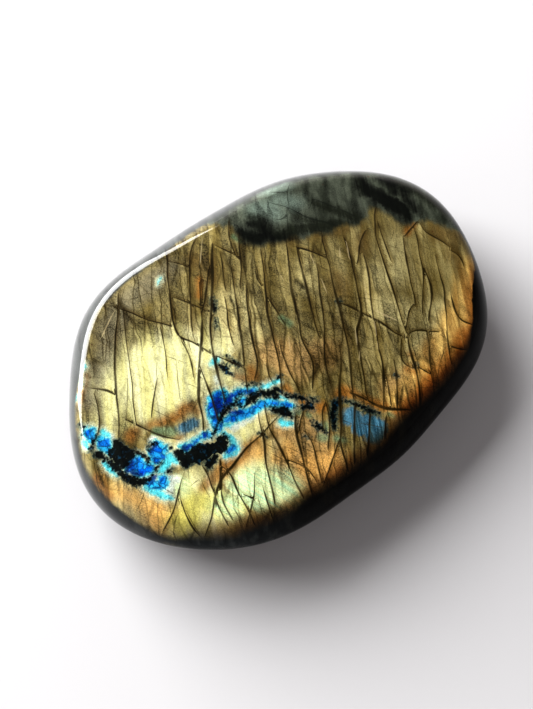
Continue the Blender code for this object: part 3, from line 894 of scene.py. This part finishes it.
def labradorite_polish():
    """Polished labradorite: patches of flash, cracks and veins under a glossy surface."""
    material = bpy.data.materials.new("polished_labradorite")
    material.use_nodes = True
    tree = material.node_tree
    shader = tree.nodes["Principled BSDF"]
    base = Signal(tree)
    place = base.node("ShaderNodeTexCoord", out="Object").vector("SCALE", scale=1 / MILLIMETRE)
    turned = base.node("ShaderNodeMapping", {"Vector": place, "Rotation": (0, 0, STREAK_TURN)})
    steep = base.node("ShaderNodeMapping", {"Vector": place, "Rotation": (0, 0, STRIAE_TURN)})

    def noise(size, detail=2.0, at=place):
        values = {"Vector": at, "Scale": 1 / size, "Detail": detail}
        return base.node("ShaderNodeTexNoise", values, out="Fac")

    def streaks(along, across, detail=2.0, at=turned):
        sized = base.node("ShaderNodeMapping", {"Vector": at, "Scale": (1 / along, 1 / across, 0.2)})
        return noise(1.0, detail, sized)

    def stored(title):
        """The offset from the nearest stroke of a kind, its half width, and the gap to its edge."""
        kept = base.node("ShaderNodeAttribute", out="Vector", attribute_name=title)
        return [kept.part(axis) for axis in range(3)]

    def gap_to(title):
        return stored(title)[2]

    def inside(gap, low, high):
        """1 inside an edge, 0 outside it, and a soft step between those two gaps."""
        return 1 - gap.rise(low, high)

    wobble = noise(1.1, 3.0) - 0.5
    ragged = noise(0.55, 4.0) - 0.5
    patchy = noise(6.0, 3.0) - 0.5
    strips = streaks(15, 2.2, 3.0)
    fine_strips = streaks(9, 0.5, 3.0)
    striae = streaks(14, 0.4, 3.0, steep)
    bands = streaks(18, 1.6, 2.0, steep).rise(0.4, 0.6)

    def slivers(at, along, across):
        """The tone of each long sliver of stone, and how near its edge is."""
        slim = base.node("ShaderNodeMapping", {"Vector": at, "Scale": (1 / along, 1 / across, 0.05)})
        values = {"Vector": slim.vector("ADD", base.node("ShaderNodeCombineXYZ", {1: patchy * 0.8}))}
        values["Scale"] = 1.0
        tone = base.node("ShaderNodeTexVoronoi", values, out="Color").part(0)
        edge = base.node("ShaderNodeTexVoronoi", values, out="Distance", feature="DISTANCE_TO_EDGE")
        return tone, edge

    panel, panel_edge = slivers(turned, 22, 2.6)
    facet, facet_edge = slivers(steep, 12, 4.5)
    grain = noise(0.25, 3.0) - 0.5
    shift = noise(9.0, 2.0) * 9.0
    saw = base.math("FRACT", (turned.part(1) + shift) / STRIP_WIDTH)

    def patch(title, soft, streaky=3.0):
        """Where the patch lies, with an edge that runs out along the strips."""
        gap = gap_to(title) + (strips - 0.5) * streaky + patchy * soft
        return inside(gap, -0.6 * soft, soft)

    # The ground: khaki and olive flash in strips.
    ground = strips.rise(0.3, 0.7).paint(shade(100, 86, 42), shade(152, 138, 86))
    ground = (patch("sand", 3.0) * 0.8).paint(ground, shade(184, 172, 116))
    ground = (patch("tan", 3.0) * 0.8).paint(ground, shade(184, 146, 88))
    ground = (patch("brown", 2.5) * 0.68).paint(ground, shade(90, 68, 30))
    glowing = strips.rise(0.3, 0.7).paint(shade(252, 246, 156), shade(255, 255, 196))
    gold = patch("gold", 5.0, 5.0)
    ground = (gold * 0.97).paint(ground, glowing)
    ground = (patch("honey", 2.6, 2.5) * 0.85).paint(ground, shade(244, 184, 96))
    ground = (patch("lime", 2.4, 2.5) * 0.88).paint(ground, shade(238, 228, 108))
    # Painted haze: pale grey laid over the ground where the window's glow reflects near the upper bevel.
    ground = (patch("veil", 3.0, 1.0) * 0.6).paint(ground, shade(128, 122, 100))
    greenish = striae.rise(0.25, 0.75).paint(shade(216, 276, 214), shade(276, 280, 200))
    mint = patch("mint", 3.0, 4.0)
    ground = (mint * 0.95).paint(ground, greenish)
    glowing = strips.rise(0.35, 0.65).paint(shade(154, 112, 50), shade(240, 196, 106))
    ground = (patch("amber", 2.6, 3.0) * 0.85).paint(ground, glowing)
    ground = (patch("rust", 1.3, 1.2) * 0.7).paint(ground, shade(148, 88, 28))
    ground = (patch("teal", 0.8, 1.0) * 0.5).paint(ground, shade(86, 150, 116))

    # Fine cracks round the slivers, broken up, and fainter where the flash is bright.
    vivid = gold.highest(mint)
    strength = noise(5.0, 2.0).rise(0.25, 0.6)
    busy = 1 - place.part(0).rise(10, 34) * 0.5
    calm = 1 - 0.7 * gold.highest(mint * 0.6)
    for edge, width, share in ((panel_edge, 0.075, 0.8), (facet_edge, 0.03, 0.45)):
        thin = inside(edge, 0.0, width) * (0.25 + 0.75 * strength) * busy
        ground = (thin * calm * share).paint(ground, shade(50, 40, 14))

    # The grey body of the stone, where it has no flash: panels, wedges and blotches.
    body = (stored("slate_edge")[0] + wobble * 1.6 + (strips - 0.5) * 3.0).rise(-0.8, 1.2)
    slate = streaks(8, 3.0, 3.0).rise(0.35, 0.65).paint(shade(34, 38, 29), shade(74, 80, 66))
    slate = (patch("slate_light", 2.6, 1.5) * 0.8).paint(slate, shade(110, 126, 112))
    wedge = gap_to("wedges") + wobble * 1.5 + (fine_strips - 0.5) * 2.5
    slate = (inside(wedge, -1.2, 1.4) * 0.85).paint(slate, shade(17, 20, 11))
    ground = body.paint(ground, slate)
    gloom = gap_to("gloom") + wobble * 1.5 + (fine_strips - 0.5) * 2.0
    ground = (inside(gloom, -1.6, 1.6) * 0.97).paint(ground, shade(3, 5, 2))

    # The blue veins: navy inside, then azure, cyan and a pale rim, all finely crazed.
    bent = place.vector("ADD", base.node("ShaderNodeCombineXYZ", {0: wobble * 1.2, 1: patchy * 2.0}))
    craze = {"Vector": bent, "Scale": 0.55}
    cell = base.node("ShaderNodeTexVoronoi", craze, out="Color").part(0)
    seam = base.node("ShaderNodeTexVoronoi", craze, out="Distance", feature="DISTANCE_TO_EDGE")
    broken = 1 - seam.rise(0.0, 0.13)
    rough = wobble * 1.3 + ragged * 0.5
    white = gap_to("white") + rough
    azure = gap_to("azure") + rough
    cyan = gap_to("cyan") + rough
    pale = (azure - 0.9).lowest(cyan - 0.5).lowest(white)
    ground = (inside(pale, -0.4, 1.0) * 0.6).paint(ground, shade(236, 246, 206))
    ground = (inside(white, -0.6, 0.7) * 0.8).paint(ground, shade(240, 255, 240))
    cyan = (azure - 0.3).lowest(cyan)
    ground = (inside(cyan, -0.4, 0.6) * 0.92).paint(ground, shade(70, 222, 236))
    bright = cell.rise(0.2, 0.9).paint(shade(0, 104, 232), shade(40, 190, 255))
    ground = inside(azure, -0.6, 0.4).paint(ground, bright)
    navy = gap_to("navy") + rough
    ground = (inside(navy, -0.4, 0.7) * 0.9).paint(ground, shade(0, 24, 140))
    seams = broken * inside(azure, -0.3, 0.5) * (0.35 + 0.6 * cell)
    ground = seams.paint(ground, shade(2, 34, 84))
    steel = gap_to("steel") + wobble * 1.4 + (fine_strips - 0.5) * 1.5
    steely = fine_strips.rise(0.35, 0.65).paint(shade(24, 70, 92), shade(68, 124, 152))
    ground = (inside(steel, -0.6, 0.7) * 0.92).paint(ground, steely)

    # Black inclusions with ragged edges and a breath of teal round them.
    ink = gap_to("ink") + wobble * 1.2 + ragged * 1.4
    ground = (inside(ink, -0.1, 0.9) * 0.6).paint(ground, shade(20, 66, 72))
    inky = noise(0.9, 4.0).rise(0.55, 0.75).paint(shade(2, 5, 5), shade(12, 46, 66))
    ground = (inside(ink, -0.25, 0.3) * 0.98).paint(ground, inky)

    # Strips between the cracks, with a painted highlight thinly along one side and painted shade along
    # the other.
    offset, half, gap = stored("cracks")
    near_line = 1 - (gap + half).rise(0.5, 1.0)
    # Painted shade beside each crack on one side, and a painted highlight on the other.
    dim = (1 - offset.rise(0.0, 1.5)) * offset.rise(-0.06, 0.06) * (0.3 + 0.7 * strength)
    lit = (0 - offset).rise(0.1, 0.3) * (1 - (0 - offset).rise(0.3, 0.9)) * near_line
    tone = 0.3 * (saw - 0.5) + 0.4 * (fine_strips - 0.5) + 0.36 * patchy + 0.72 * (panel - 0.5)
    tone = tone + 0.24 * (striae - 0.5) + 0.2 * (bands - 0.5) + 0.25 * (facet - 0.5)
    tone = (tone + 0.7 * ragged + 1.8 * grain) * busy
    tone = 1 + tone * (1 - 0.55 * vivid) + 0.5 * grain + lit * (0.2 - 0.15 * vivid)
    ground = ground.vector("SCALE", scale=tone)
    ground = (dim * (0.7 - 0.25 * vivid)).paint(ground, ground.vector("MULTIPLY", (0.36, 0.28, 0.12)))

    # Cracks, hairlines, pale healed lines and scattered brown specks.
    def drawn(offset, half, gap, core, fringe):
        """The line itself. Its distance has to be small too, as the sign turns between lines."""
        return (1 - (abs(offset) / half).rise(core, fringe)) * (1 - (gap + half).rise(0.3, 0.5))

    ground = (drawn(offset, half, gap, 0.5, 3.2) * 0.35).paint(ground, shade(66, 48, 18))
    crack = drawn(offset, half * (1 + ragged * 0.6), gap, 0.4, 1.6)
    ground = (crack * (0.7 + 0.28 * strength)).paint(ground, shade(26, 20, 5))
    line = drawn(*stored("hairlines"), 0.4, 2.2)
    ground = (line * 0.62).paint(ground, body.paint(shade(46, 36, 12), shade(14, 18, 12)))
    line = drawn(*stored("healed"), 0.4, 2.0)
    ground = (line * 0.45).paint(ground, shade(222, 200, 146))
    spots = {"Vector": place, "Scale": 0.2}
    near = base.node("ShaderNodeTexVoronoi", spots, out="Distance")
    kind = base.node("ShaderNodeTexVoronoi", spots, out="Color").part(0)
    speck = (1 - (near + ragged * 0.05).rise(0.03, 0.07)) * kind.rise(0.45, 0.6)
    ground = (speck * 0.6).paint(ground, shade(60, 30, 14))

    # Towards the low side the flash turns brown before it dies. It dies where the skin
    # turns down, and leaves a nearly black stone, with a painted reflection in milky grey
    # along the broad bevel on the window side and a painted grey sheen on the left flank.
    offset, half = stored("flash_edge")[:2]
    flash = (offset + wobble * 0.5).rise(half * -1.0, half)
    low_side = 1 - place.part(1).rise(-28, -15)
    brown = inside(offset + (strips - 0.5) * 2.0, 0.0, 3.0) * low_side
    ground = (brown * 0.8).paint(ground, ground.vector("MULTIPLY", (0.55, 0.27, 0.08)))
    flash = flash * place.part(2).rise(9.0, 13.0)
    dark = noise(3.0, 4.0).rise(0.35, 0.7).paint(shade(2, 1, 1), shade(9, 9, 8))
    dark = (strips.rise(0.5, 0.75) * 0.3).paint(dark, shade(30, 27, 16))
    # Painted reflection: the broad bevel on the window side is laid in mottled milky grey, lighter on
    # some panels.
    bevel = place.part(1).rise(6, 18) * place.part(2).rise(3, 12)
    # Painted sheen: on the left side the dark flank is turned bluish grey.
    left_side = 1 - place.part(0).rise(-44, -20)
    grey = strips.rise(0.4, 0.7).paint(shade(26, 31, 32), shade(58, 63, 62))
    dark = (left_side * 0.9).paint(dark, grey)
    painted_bevel_sheen = streaks(7, 3.0, 4.0).rise(0.3, 0.7).paint(shade(56, 59, 57), shade(78, 82, 80))
    painted_bevel_sheen = ((panel - 0.3) * 0.5).highest(0).paint(painted_bevel_sheen, shade(104, 108, 102))
    dark = (bevel * 0.85).paint(dark, painted_bevel_sheen)
    dark = ((1 - panel_edge.rise(0.0, 0.06)) * strength * 0.5).paint(dark, shade(8, 9, 7))
    dark = (crack * 0.6).paint(dark, shade(6, 5, 3))
    ground = flash.paint(dark, ground)
    flank = 1 - place.part(2).rise(7, 13)
    shine = place.part(1).rise(-20, 8).highest(flank * 0.3)

    tree.links.new(shine.socket, shader.inputs["Coat Weight"])
    tree.links.new(ground.socket, shader.inputs["Base Color"])
    gloss = {"Roughness": 0.07, "IOR": 1.56, "Specular IOR Level": 0.03, "Metallic": 0.0}
    coat = {"Coat Roughness": 0.05, "Coat IOR": 1.5}
    for name, value in (gloss | coat).items():
        shader.inputs[name].default_value = value
    return material


fine_lines = {"cracks": CRACKS, "hairlines": HAIRLINES, "healed": HEALED}
veins = {"ink": INK, "azure": AZURE, "navy": NAVY, "cyan": CYAN, "white": WHITE}
patches = {
    "wedges": WEDGES, "steel": STEEL, "teal": TEAL, "gold": GOLD, "mint": MINT, "amber": AMBER,
    "rust": RUST, "tan": TAN, "sand": SAND, "honey": HONEY, "lime": LIME, "brown": BROWN,
    "veil": PAINTED_HAZE, "gloom": GLOOM, "slate_light": SLATE_LIGHT, "slate_edge": SLATE_EDGE,
    "flash_edge": FLASH_EDGE,
}
layers = {title: stroke_mesh(title, text, cracks=True) for title, text in fine_lines.items()}
for title, text in veins.items():
    layers[title] = stroke_mesh(title, text, shift=(0, 0))
for title, text in patches.items():
    layers[title] = stroke_mesh(title, text)
tree = marking_tree(list(layers))
draft = bpy.data.objects.new("stone_draft", stone_skin(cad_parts["labradorite_stone"]))
bpy.context.scene.collection.objects.link(draft)
modifier = draft.modifiers.new("markings", "NODES")
modifier.node_group = tree
# Below that height the markings lean, so that none runs straight down the flank.
settings = {"Start of the lean": 13.0, "Lean to +X": 0.3, "Lean to +Y": 0.2}
settings["Polish"] = labradorite_polish()
settings.update(layers)
for socket in tree.interface.items_tree:
    if socket.in_out == "INPUT" and socket.name in settings:
        modifier[socket.identifier] = settings[socket.name]
skin = bpy.data.meshes.new_from_object(draft.evaluated_get(bpy.context.evaluated_depsgraph_get()))
bpy.data.objects.remove(draft)
for drawing in layers.values():
    bpy.data.objects.remove(drawing)
stone = bpy.data.objects.new("polished_stone", skin)
bpy.context.scene.collection.objects.link(stone)
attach(stone, "root")
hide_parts("labradorite_stone")

# The floor: a plain pale table top, well beyond the picture on every side.

FLOOR_HALF = 0.8
FLOOR_COLOUR = (0.512, 0.51, 0.516, 1)

floor_mesh = bpy.data.meshes.new("floor")
floor_corners = [(x * FLOOR_HALF, y * FLOOR_HALF, 0) for x, y in ((-1, -1), (1, -1), (1, 1), (-1, 1))]
floor_mesh.from_pydata(floor_corners, [], [(0, 1, 2, 3)])
floor = bpy.data.objects.new("floor", floor_mesh)
bpy.context.scene.collection.objects.link(floor)
pale = bpy.data.materials.new("pale_floor")
pale.use_nodes = True
paper = pale.node_tree.nodes["Principled BSDF"]
paper.inputs["Base Color"].default_value = FLOOR_COLOUR
paper.inputs["Roughness"].default_value = 0.8
paper.inputs["Specular IOR Level"].default_value = 0.2
floor_mesh.materials.append(pale)

# The light: one broad low window beyond the +Y side. The room's walls are pale, most of
# all the one opposite the window, and its ceiling is dim, so that the face shows no haze.

WINDOW_TURN = math.radians(95.5)
WINDOW_CLIMB = math.radians(26)
WINDOW_DISTANCE = 1.2
WINDOW_WIDTH = 1.25
WINDOW_HEIGHT = 1.15
WINDOW_WATTS = 65
WALL_GLOW = (1.1, 1.03, 1.01, 1)
CEILING_GLOW = (0.17, 0.165, 0.17, 1)
OPPOSITE_GLOW = (1.1, 1.04, 1.04, 1)
OPPOSITE_SHARE = 0.85

light = bpy.data.lights.new("window", "AREA")
light.shape = "RECTANGLE"
light.size = WINDOW_WIDTH
light.size_y = WINDOW_HEIGHT
light.energy = WINDOW_WATTS
window = bpy.data.objects.new("window", light)
level = math.cos(WINDOW_CLIMB)
towards = Vector((math.cos(WINDOW_TURN) * level, math.sin(WINDOW_TURN) * level, math.sin(WINDOW_CLIMB)))
window.location = towards * WINDOW_DISTANCE
window.rotation_mode = "QUATERNION"
window.rotation_quaternion = towards.to_track_quat("Z", "Y")
bpy.context.scene.collection.objects.link(window)

world = bpy.data.worlds.new("room")
bpy.context.scene.world = world
world.use_nodes = True
room = Signal(world.node_tree)
heading = room.node("ShaderNodeTexCoord", out="Generated")
glow = heading.part(2).rise(0.15, 0.8).paint(WALL_GLOW, CEILING_GLOW)
opposite = (0 - heading.part(1)).rise(0.2, 0.9) * OPPOSITE_SHARE
glow = opposite.paint(glow, OPPOSITE_GLOW)
background = world.node_tree.nodes["Background"]
world.node_tree.links.new(glow.socket, background.inputs["Color"])

# The camera: a phone held over the table, looking down from the stone's -X -Y side.

CAMERA_TURN = math.radians(-46)
CAMERA_CLIMB = math.radians(68)
CAMERA_DISTANCE = 0.2266
CAMERA_AIM = Vector((-0.0035, -0.0004, 0.012))

lens = bpy.data.cameras.new("camera")
lens.lens = 50
lens.sensor_width = 36
lens.clip_start = 0.01
camera = bpy.data.objects.new("camera", lens)
level = math.cos(CAMERA_CLIMB)
back = Vector((math.sin(CAMERA_TURN) * level, -math.cos(CAMERA_TURN) * level, math.sin(CAMERA_CLIMB)))
camera.location = CAMERA_AIM + back * CAMERA_DISTANCE
camera.rotation_euler = (math.pi / 2 - CAMERA_CLIMB, 0, CAMERA_TURN)
bpy.context.scene.collection.objects.link(camera)
bpy.context.scene.camera = camera
bpy.context.scene.view_settings.view_transform = "Standard"
bpy.context.scene.view_settings.gamma = VIEW_GAMMA
